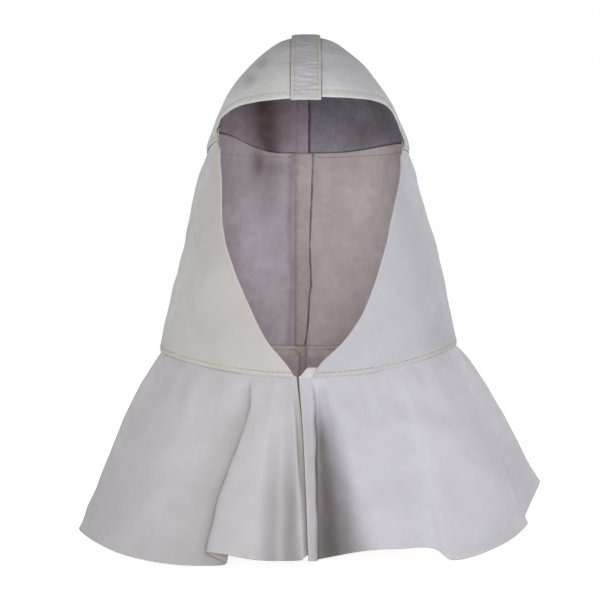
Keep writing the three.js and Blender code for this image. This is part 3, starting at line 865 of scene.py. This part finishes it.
PANEL_ACROSS = graded((0, 0.97, 84), (0.97, 1, 7))
PANEL_ALONG = graded((0, 0.16, 24), (0.16, 0.94, 70), (0.94, 1, 15))
panel_grids = {}
for side, name in SIDES.items():
    across, along = np.meshgrid(PANEL_ACROSS[::side], PANEL_ALONG)
    turn, drop = side_panel_place(side, across, along)
    base = inside_hood(turn, drop, panel_depth(side, across, drop))
    down = run_down(base)
    from_neck = down[-1] - down
    is_back = base[..., 1] > 0
    lift = hide_relief(base)
    if side == RIGHT:
        slanted = base[..., 0] * PUCKER_SLANT + base[..., 2]
        waves = np.sin(slanted * 2 * math.pi / PUCKER_LENGTH)
        lift += PUCKER_HEIGHT * spot(base, *PUCKER) * is_back * waves
    near_neck = smoothstep(PANEL_PULL_REACH - from_neck, 0, PANEL_PULL_REACH)
    lift -= PANEL_PULL * near_neck + STITCH_GROOVE * hump(from_neck, NECK_STITCH_ABOVE, NECK_GROOVE_WIDTH)
    surface = lifted(side, base, lift)
    # A band of painted shadow beside the fold of the back seam allowance, then stains and painted shade
    # inside the back.
    wander = FOLD_SHADOW_WANDER * np.sin(base[..., 2] * 2 * math.pi / FOLD_SHADOW_WANDER_LENGTH)
    stain = FOLD_SHADOW_STRENGTH * hump(base[..., 0] - wander, *FOLD_SHADOW_BAND)
    for *stain_place, strength in PANEL_STAINS_AND_SHADE:
        stain += strength * spot(base, *stain_place)
    sew_hide(
        f"side_panel_{name}",
        surface,
        WALL * (1 - PANEL_PRESSED * near_neck),
        (panel_grain[side], panel_suede[side], raw_edge),
        # On the grain side, painted shadow under the crown's lower edge.
        grain_marks={
            "edge_mm": np.minimum(from_neck, run_from_front(side, base)),
            "seam_mm": from_neck - NECK_STITCH_ABOVE,
            "cover_mm": drop - crown_edge_drop(side, across) - BESIDE_COVER,
        },
        # On the flesh side, painted shadow at the cape's top edge and beside the seam allowance's raw edge.
        flesh_marks={
            "edge_mm": np.abs(from_neck - LAP - 0.4) + 0.5,
            "cover_mm": np.where(is_back, surface[..., 0] - back_raw_curve(drop) - 0.6, FAR),
            "stain": stain * is_back,
        },
    )
    panel_grids[side] = (surface, from_neck)

# Back seam flap
# The allowances of the seam between the side panels, turned to one side inside and left raw.
# The edge curls a little off the panel behind it.
BACK_FLAP_FROM = CROWN_BACK_EDGE - LAP + 0.4
BACK_FLAP_TO = NECK_BACK - LAP - 0.6
BACK_FLAP_FOLD_SHADE = 0.45  # how dark the painted shade at the fold's foot is
share, drop = np.meshgrid(np.linspace(0, 1, 17), np.linspace(BACK_FLAP_FROM, BACK_FLAP_TO, 120))
raw = back_raw_curve(drop) + 0.5 * ragged(drop, 31)
fold_x = BACK_FLAP_LEFT + 0.9 * ragged(drop, 36)
x = fold_x + (raw - fold_x) * share
turn = np.degrees(np.arcsin(x / half_width(np.ones_like(drop), drop)))
stand, thickness = flap_rise(share)
base = inside_hood(turn, drop, WALL + panel_depth(LEFT, 0, drop) + stand)
sew_hide(
    "back_seam_flap",
    base + outward(hood_point, turn, drop) * hide_relief(base)[..., None],
    thickness,
    (flap_edge_painted_shadow, flap_suede, flap_edge_painted_shadow),
    # Painted shade at the foot of the fold.
    flesh_marks={"stain": BACK_FLAP_FOLD_SHADE * (1 - smoothstep(share, 0, 0.35))},
)

# Cape
# Two flared halves of hide whose top edges are lapped under the side panels and sewn round the neck.
# They fall in soft flutes, are seamed at the back, and part at the slit in front.
CAPE_SPRING = 6.5  # how far the cape springs out before it hangs
CAPE_SPREAD = 40  # flare of a fold that springs out fully
CAPE_CORNER = {LEFT: 2, RIGHT: 1}  # folds in which the tucked edge is cut down to the slit
CAPE_CORNER_LEAST = 0.15
CAPE_FINENESS = 12
CAPE_RELIEF = 1.2  # the cape's soft relief, as a share of the hood's
CAPE_LENGTH = 160
FOLD_SWING = 8  # how far the left fold swings towards the slit on its way down
NECK_PUCKERS = 0.5  # height of the puckers under the neck seam
NECK_PUCKER_LENGTH = 21
SLIT_TUCK = 2.5  # how far the left edge of the slit is drawn in
DIMPLE_FOLD = (4.7, 0.4)  # the fold at which a dimple lies, and its spread
DIMPLE_SHARE = (0.15, 0.08)
DIMPLE_DEPTH = 2
# how much painted shade darkens the dimple
DIMPLE_SHADE = 0.7

# Ridges and valleys: turn at the neck in degrees from the back, then x, y and drop where each meets the hem.
CAPE_FOLDS = np.array([
    (-176.3, 5, -158, 490),
    (-174, -4, -170, 495),
    (-171.5, -24, -148, 500),
    (-167, -47, -172, 495),
    (-161, -91, -158, 491),
    (-158, -74, -135, 505),
    (-152, -100, -144, 505),
    (-135, -137, -136, 503),
    (-117, -181, -98, 499),
    (-97, -224, -30, 487),
    (-80, -211, 42, 488),
    (-64, -176, 94, 491),
    (-48, -151, 148, 486),
    (-34, -104, 146, 491),
    (-18, -60, 180, 486),
    (0, 0, 170, 489),
    (18, 58, 180, 486),
    (33, 100, 148, 491),
    (47, 149, 150, 485),
    (62, 176, 100, 486),
    (77, 220, 62, 470),
    (92, 234, 10, 444),
    (106, 212, -46, 472),
    (113, 210, -74, 477),
    (127, 179, -122, 490),
    (143, 131, -152, 498),
    (148, 116, -146, 489),
    (160, 84, -160, 487),
    (172, 55, -160, 489),
    (176.8, 11.5, -106, 505),
    (179.6, 8.5, -168, 497),
    (183, 2, -172, 496),
])
LAST_FOLD = len(CAPE_FOLDS) - 1
BACK_FOLD = int(np.argmin(np.abs(CAPE_FOLDS[:, 0])))
HEM_POINTS = CAPE_FOLDS[:, 1:] * (1, 1, -1) + (0, 0, WALL)
fold_turn = table_curve(np.arange(len(CAPE_FOLDS), dtype=float), CAPE_FOLDS[:, 0])

# Painted shade in the flutes, beside the S-fold and over the far left: the fold's number, how far it spreads
# before and after that fold, at the neck and how much more at the hem, the share of the way down where it
# starts, and its strength.
FLUTE_SHADE = (
    (0.7, 0.5, 0, 0.5, 0, 0.05, 0.2),
    (1.75, 0.5, 0, 0.35, 0, 0.36, 0.5),
    (29, 0.12, 0.88, 0.5, 0, 0.03, 1.0),
    (30.4, 0.6, 0, 0.6, 0, 0.05, 0.42),
    (5, 0.5, 0, 0.6, 1.5, 0.02, 0.5),
    (9.5, 2.6, -1.2, 3, 0, -0.4, 0.14),
)
FLUTE_SHADE_FADE = 0.35
# The colour of painted shade on the cape.
CAPE_SHADE_COLOUR = (130, 123, 118)
CAPE_TINTS = {
    LEFT: ((199, 197, 200), (191, 189, 192), (181, 178, 178), CAPE_SHADE_COLOUR),
    RIGHT: ((202, 200, 207), (194, 192, 199), (184, 181, 184), CAPE_SHADE_COLOUR),
}
cape_grain = both_sides(grain_leather, "cape_grain", CAPE_TINTS, crease=0.45)
cape_suede = suede("cape_suede", (222, 210, 211), (206, 194, 195), (180, 166, 165))
cape_edge = cut_edge("cape_edge", (190, 184, 168), (160, 152, 134))


def hem_point(fold):
    """A point on the hem, on a smooth curve through the folds' ends."""
    before = 2 * HEM_POINTS[:1] - HEM_POINTS[1:2]
    after = 2 * HEM_POINTS[-1:] - HEM_POINTS[-2:-1]
    ends = np.concatenate([before, HEM_POINTS, after])
    fold = np.clip(fold, 0, LAST_FOLD)
    i = np.minimum(np.floor(fold).astype(int), LAST_FOLD - 1)
    t = (fold - i)[..., None]
    p0, p1, p2, p3 = (ends[i + k] for k in range(4))
    steps = (p1 - p0, p2 - p1, p3 - p2)
    d0, d1, d2 = (np.sqrt(np.linalg.norm(step, axis=-1, keepdims=True)) for step in steps)
    leave = ((p1 - p0) / d0 - (p2 - p0) / (d0 + d1) + (p2 - p1) / d1) * d1
    enter = ((p2 - p1) / d1 - (p3 - p1) / (d1 + d2) + (p3 - p2) / d2) * d1
    square = -3 * p1 + 3 * p2 - 2 * leave - enter
    cube = 2 * p1 - 2 * p2 + leave + enter
    return p1 + leave * t + square * t**2 + cube * t**3


def cape_point(fold, share):
    """A point on the cape: share -1 to 0 in its tucked top edge, 0 at the neck and 1 at the hem."""
    fold, share = np.broadcast_arrays(fold, share)
    turn = fold_turn(fold)
    edge = neck_drop(turn) + LAP_GAP
    depth = np.full(turn.shape, WALL + LAP_GAP)
    corner = smoothstep(fold, 0, CAPE_CORNER[LEFT]) * smoothstep(LAST_FOLD - fold, 0, CAPE_CORNER[RIGHT])
    height = (LAP + LAP_GAP) * (CAPE_CORNER_LEAST + (1 - CAPE_CORNER_LEAST) * corner)
    top = inside_hood(turn, edge + np.minimum(share, 0) * height, depth)
    hem = hem_point(fold)
    flare = (hem - top) * (1, 1, 0) / CAPE_SPREAD
    flare = flare / np.maximum(np.linalg.norm(flare, axis=-1, keepdims=True), 1)
    hang = np.maximum(share, 0)[..., None]
    bulge = 27 / 4 * hang * (1 - hang) ** 2
    return top + (hem - top) * hang + flare * CAPE_SPRING * bulge


def cape_relief(points, share):
    return hide_relief(points) * smoothstep(share, -0.2, 0.3) * CAPE_RELIEF


CAPE_DOWN = graded((-1, 0, 7), (0, 0.2, 18), (0.2, 1, 56))
BELOW_NECK_ROW = 7
for side, name in SIDES.items():
    first, last = (0, BACK_FOLD) if side == LEFT else (BACK_FOLD, LAST_FOLD)
    fold = np.linspace(first, last, (last - first) * CAPE_FINENESS + 1)
    fold, share = np.meshgrid(fold, CAPE_DOWN)
    base = cape_point(fold, share)
    swing = smoothstep(fold, 2.5, 3.8) * (1 - smoothstep(fold, 5, 7.5))
    base[..., 0] += FOLD_SWING * swing * smoothstep(share, 0, 0.2) * (1 - smoothstep(share, 0.25, 0.75))
    down = run_down(base)
    from_hem = down[-1] - down
    along_neck = run_across(base)[BELOW_NECK_ROW] + 0 * share
    puckers = ripple(np.stack([along_neck, 0 * share, share * 45], axis=-1), NECK_PUCKER_LENGTH, 61)
    under_neck = smoothstep(share, 0, 0.04) * (1 - smoothstep(share, 0.1, 0.35))
    border = 1 - smoothstep(fold, 0.5, 1.1)
    tucked = border * smoothstep(share, 0, 0.15) * (1 - smoothstep(share, 0.4, 0.8))
    dimple = hump(fold, *DIMPLE_FOLD) * hump(share, *DIMPLE_SHARE)
    lift = cape_relief(base, share) + NECK_PUCKERS * puckers * under_neck
    lift -= SLIT_TUCK * tucked + DIMPLE_DEPTH * dimple
    # Painted shade at the dimple and down the flutes.
    painted_shade = DIMPLE_SHADE * dimple
    for middle, before, more_before, after, more_after, start, strength in FLUTE_SHADE:
        spread = np.where(fold < middle, before + more_before * share, after + more_after * share)
        apart = np.abs(fold - middle) / np.maximum(spread, 0.05)
        painted_shade += strength * np.exp(-(apart**3)) * smoothstep(share, start, start + FLUTE_SHADE_FADE)
    yellowed = np.maximum(border, 1 - smoothstep(share, -0.05, 0.02))
    sew_hide(
        f"cape_{name}",
        lifted(side, base, lift),
        WALL,
        (cape_grain[side], cape_suede, cape_edge),
        # On the grain side, painted shadow under the side panels' lower edge, and painted shade in the
        # flutes.
        grain_marks={
            "edge_mm": np.minimum(from_hem, run_from_front(side, base)),
            "seam_mm": FAR * (1 - yellowed),
            "cover_mm": share * CAPE_LENGTH + 0.7,
            "stain": painted_shade,
        },
    )

# Cape seam flap
# The allowances of the cape's back seam, turned to one side inside, from the tucked top edge to the hem.
# They are narrower at the neck, and their edge is left raw.
CAPE_FLAP_LEFT = -11
CAPE_FLAP_RIGHT = 4
CAPE_FLAP_NARROWER = 5
share, down = np.meshgrid(np.linspace(0, 1, 15), np.linspace(-0.94, 0.99, 120))
raw = CAPE_FLAP_RIGHT - CAPE_FLAP_NARROWER * (1 - smoothstep(down, 0, 0.3))
raw = raw + 0.5 * ragged(down * CAPE_LENGTH, 41)
x = CAPE_FLAP_LEFT + (raw - CAPE_FLAP_LEFT) * share
base = cape_point(BACK_FOLD + x / CAPE_FOLDS[BACK_FOLD + 1, 1], down)
stand, thickness = flap_rise(share)
lift = cape_relief(base, down) - WALL - stand
sew_hide(
    "cape_seam_flap",
    base + sheet_normals(base) * lift[..., None],
    thickness,
    (flap_edge_painted_shadow, flap_suede, flap_edge_painted_shadow),
)

# Stitches
# Thick pale tan thread in a straight lockstitch, seen from outside as a row of short raised dashes.
# Each dash rises out of its needle hole, lies on the hide and goes down into the next hole.
STITCH_PITCH = 5.2
STITCH_SHARE = 0.74  # part of the pitch that the thread lies on top
STITCH_RISE = 0.72
STITCH_SINK = 0.38
STITCH_ROUNDNESS = 0.6
THREAD_RADIUS = 0.42
BROW_THREAD_RADIUS = 0.36
CROWN_THREAD_RADIUS = 0.3
THREAD_SIDES = 6
BROW_ROW = 40  # a row of the crown's grid near the brow
BROW_CLEAR = 15  # half of the width that the strip covers there
LAPPED = 2 * WALL + LAP_GAP  # through both layers of a lapped seam


def thread_finish(name, deep, pale):
    """Twisted sewing thread, a little uneven in colour."""
    material, tree, shader = new_material(name)
    spots = placed_group(tree, blotches, {"Cloud Scale": 60, "Fleck Scale": 900})
    inputs = {
        "Base Color": mixed(tree, spots["Cloud"], deep, pale),
        "Roughness": 0.7,
        "Normal": bumped(tree, spots["Fleck"], 0.4, 0.0002),
    }
    set_inputs(tree, shader, inputs)
    return material


seam_thread = thread_finish("seam_thread", (168, 158, 126), (190, 182, 156))
worn_thread = thread_finish("worn_thread", (174, 168, 146), (192, 188, 172))


def tube(line, radius):
    """Points and faces of a round strand along a line."""
    along = unit(np.gradient(line, axis=0))
    aside = unit(np.cross(along, np.array([0.31, 0.17, 0.93])))
    above = np.cross(along, aside)
    angles = np.linspace(0, 2 * math.pi, THREAD_SIDES, endpoint=False)
    ring = aside[:, None] * np.cos(angles)[:, None] + above[:, None] * np.sin(angles)[:, None]
    points = (line[:, None] + ring * radius).reshape(-1, 3)
    faces = []
    for start in range(0, len(points) - THREAD_SIDES, THREAD_SIDES):
        for k in range(THREAD_SIDES):
            a, b = start + k, start + (k + 1) % THREAD_SIDES
            faces.append((a, b, b + THREAD_SIDES, a + THREAD_SIDES))
    faces.append(tuple(range(THREAD_SIDES))[::-1])
    faces.append(tuple(range(len(points) - THREAD_SIDES, len(points))))
    return points, faces


def strands(name, lines, radius=THREAD_RADIUS, finish=seam_thread):
    points, faces, count = [], [], 0
    for line in lines:
        new_points, new_faces = tube(line, radius)
        points.append(new_points)
        faces.extend(tuple(i + count for i in face) for face in new_faces)
        count += len(new_points)
    piece = link_mesh(name, np.concatenate(points), faces, (finish,))
    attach(piece, "root")


def interpolated(at, run, points):
    """Points at some lengths along a line whose own points lie at the lengths in run."""
    return np.stack([np.interp(at, run, points[:, i]) for i in range(3)], axis=-1)


def stitches_along(line, normals):
    """The dashes of one row of stitches along a line on the hide."""
    run = np.concatenate([[0], np.cumsum(np.linalg.norm(np.diff(line, axis=0), axis=1))])
    count = max(1, int(run[-1] / STITCH_PITCH))
    pitch = run[-1] / count
    share = np.linspace(0, 1, 7)
    rise = STITCH_RISE * np.sin(math.pi * share) ** STITCH_ROUNDNESS - STITCH_SINK
    dashes = []
    for k in range(count):
        at = (k + 0.5 + (share - 0.5) * STITCH_SHARE) * pitch
        out = unit(interpolated(at, run, normals))
        dashes.append(interpolated(at, run, line) + out * rise[:, None])
    return dashes


def line_at(grid, distance, wanted, columns):
    """Points and outward directions on a grid, in each column where a falling distance has a value."""
    normals = sheet_normals(grid)
    points, outs = [], []
    for column in columns:
        falling = distance[::-1, column]
        points.append(interpolated(wanted, falling, grid[::-1, column]))
        outs.append(interpolated(wanted, falling, normals[::-1, column]))
    return np.array(points), unit(np.array(outs))


def lapped_stitches(points, outs):
    """Stitches that show on both sides of a lapped seam."""
    return stitches_along(points, outs) + stitches_along(points - outs * LAPPED, -outs)


brow_lines, crown_lines, neck_lines, strip_lines = [], [], [], []
for side in SIDES:
    grid, from_rim, across = crown_grids[side]
    brow = np.flatnonzero((across[0] > 1.02) & (np.abs(grid[BROW_ROW, :, 0]) > BROW_CLEAR))
    edge = np.flatnonzero(across[0] <= 1)
    rows = int(np.argmin(np.abs(from_rim[:, brow[0]]))) + 1
    brow_lines += stitches_along(*line_at(grid[:rows], from_rim[:rows], BROW_STITCH_ABOVE, brow))
    crown_lines += lapped_stitches(*line_at(grid, from_rim, CROWN_STITCH_ABOVE, edge))
    grid, from_neck = panel_grids[side]
    neck_lines += lapped_stitches(*line_at(grid, from_neck, NECK_STITCH_ABOVE, range(grid.shape[1])))
strip_out = sheet_normals(strip_grid)
for inset in (STRIP_STITCH_IN, STRIP_RIGHT - STRIP_LEFT - STRIP_STITCH_IN):
    column = int(np.argmin(np.abs(strip_x[0] - STRIP_LEFT - inset)))
    strip_lines += stitches_along(strip_grid[6:-2, column], strip_out[6:-2, column])
hem_row = int(np.argmin(np.abs(from_end[:, 0] - STRIP_HEM)))
strip_lines += stitches_along(strip_grid[hem_row, 4:-4], strip_out[hem_row, 4:-4])
strands("brow_stitches", brow_lines, BROW_THREAD_RADIUS, worn_thread)
strands("crown_edge_stitches", crown_lines, CROWN_THREAD_RADIUS)
strands("neck_stitches", neck_lines)
strands("strip_stitches", strip_lines)

# Loose threads
# A tangle of thread ends where the seams cross at the nape.
# A bar of thread is wound round the edge at the left temple, with a dark loose end.
TANGLE_SIZE = np.array([4.6, 0.9, 4.4])
TANGLE_LOOPS = 10
TANGLE_WAVES = np.array([1, 0.6, 0.35])
TANGLE_TIGHTNESS = 0.6
TANGLE_RADIUS = 0.36
BAR_TURNS = np.linspace(1.45, 1.85, 8)  # places down the crown's front edge
BAR_INSET = (1.3, 1.2)  # how far in from the grain side and from the edge its middle lies
BAR_LOOP = (1.35, 1.5)
BAR_RADIUS = 0.28
LOOSE_DROP = 98
LOOSE_RADIUS = 0.4
LOOSE_LINE = np.array([
    (0, 0, -2), (0.3, 0.2, 0), (0.6, 0.4, 2), (1.5, 0.7, 4), (2.6, 1, 3.4), (3.6, 1.4, 5), (5, 2, 6)
])
dark_thread = thread_finish("dark_thread", (58, 50, 58), (84, 76, 84))
yellow_thread = thread_finish("yellow_thread", (198, 192, 152), (216, 212, 182))

tangle_middle = cape_point(np.array(BACK_FOLD - 0.2), np.array(-0.5)) - (0, WALL + 1.6, 0)
draw = np.random.default_rng(51)
turns = np.linspace(0, 1.6 * math.pi, 22)
tangle_lines = []
for _ in range(TANGLE_LOOPS):
    waves = draw.normal(size=(3, 3)) * TANGLE_WAVES[:, None]
    phases = draw.uniform(0, 2 * math.pi, (3, 3))
    loop = sum(waves[k] * np.sin((k + 1) * turns[:, None] + phases[k]) for k in range(3))
    tangle_lines.append(tangle_middle + np.clip(TANGLE_TIGHTNESS * loop, -1, 1) * TANGLE_SIZE)
strands("nape_thread_tangle", tangle_lines, TANGLE_RADIUS, yellow_thread)

bar_lines = []
around = np.linspace(0, 1.8 * math.pi, 15)[:, None]
for along in BAR_TURNS:
    turn, drop, past = crown_place(LEFT, np.array(1.0), np.array(along))
    out = outward(hood_point, turn, drop)
    forward = unit(np.cross(out, (0, 0, 1)))
    middle = hood_point(turn, drop) + side_shift(LEFT) - out * BAR_INSET[0] - forward * BAR_INSET[1]
    bar_lines.append(middle + BAR_LOOP[1] * np.cos(around) * forward + BAR_LOOP[0] * np.sin(around) * out)
strands("temple_thread_bar", bar_lines, BAR_RADIUS, yellow_thread)

loose_start = hood_point(-face_turn(LEFT, LOOSE_DROP), LOOSE_DROP) + (0.2, 0.5, 0)
loose_at = np.linspace(0, len(LOOSE_LINE) - 1, 25)
loose_line = loose_start + interpolated(loose_at, range(len(LOOSE_LINE)), LOOSE_LINE)
strands("temple_loose_thread", [loose_line], LOOSE_RADIUS, dark_thread)

# Studio
# A pale floor just under the hem, a white surround, and soft light that comes mostly from the front.
# Smaller lights in front and at the sides reach both walls inside the opening, and two more light the back.
FLOOR_Z = -508
FLOOR_REACH = 8000
FLOOR_GLOW = 0.84
AMBIENT = 0.2
HOOD_MIDDLE = np.array([0, 0, -0.26])
# Lights: name, place, size and power. All face the hood's middle.
LIGHTS = (
    ("key", (0.1, -2.8, 0), 1, 37),
    ("front_left", (-1.25, -2.45, 0), 0.8, 10),
    ("front_right", (1.25, -2.45, 0), 0.8, 4),
    ("left_side", (-2.4, -0.7, 0.1), 1.4, 8),
    ("right_side", (2.4, -0.7, 0.1), 1.4, 15),
    ("back_left", (-1.9, 2.1, 0.5), 1.2, 18),
    ("back_right", (1.9, 2.1, 0.5), 1.2, 18),
)
CAMERA_DISTANCE = 1.7
CAMERA_Z = -0.2605
PICTURE_WIDTH = 0.6  # width of the view at the hood's middle
PICTURE_SHIFT = -7 / 600
WHITE = (1, 1, 1, 1)

floor_material, tree, shader = new_material("floor")
is_seen = add_node(tree, "ShaderNodeLightPath").outputs["Is Camera Ray"]
floor_inputs = {
    "Base Color": (0.93, 0.93, 0.93, 1),
    "Roughness": 0.9,
    "Emission Color": WHITE,
    "Emission Strength": maths(tree, "MULTIPLY", is_seen, FLOOR_GLOW),
}
set_inputs(tree, shader, floor_inputs)
corners = [(x * FLOOR_REACH, y * FLOOR_REACH, FLOOR_Z) for x, y in ((-1, -1), (1, -1), (1, 1), (-1, 1))]
floor = link_mesh("floor", corners, [(0, 1, 2, 3)], (floor_material,))

scene = bpy.context.scene
world = bpy.data.worlds.new("studio")
scene.world = world
world.use_nodes = True
tree = world.node_tree
is_seen = add_node(tree, "ShaderNodeLightPath").outputs["Is Camera Ray"]
world_inputs = {"Color": WHITE, "Strength": maths(tree, "MAXIMUM", is_seen, AMBIENT)}
set_inputs(tree, tree.nodes["Background"], world_inputs)
scene.view_settings.view_transform = "Standard"

for name, place, size, power in LIGHTS:
    data = bpy.data.lights.new(name, "AREA")
    data.shape = "SQUARE"
    data.size = size
    data.energy = power
    light = bpy.data.objects.new(name, data)
    light.location = place
    x, y, z = HOOD_MIDDLE - place
    light.rotation_euler = (math.atan2(np.hypot(x, y), -z), 0, math.atan2(-x, y))
    scene.collection.objects.link(light)

camera_data = bpy.data.cameras.new("camera")
camera_data.lens = camera_data.sensor_width * CAMERA_DISTANCE / PICTURE_WIDTH
camera_data.shift_x = PICTURE_SHIFT
camera = bpy.data.objects.new("camera", camera_data)
camera.location = (0, -CAMERA_DISTANCE, CAMERA_Z)
camera.rotation_euler = (math.pi / 2, 0, 0)
scene.collection.objects.link(camera)
scene.camera = camera
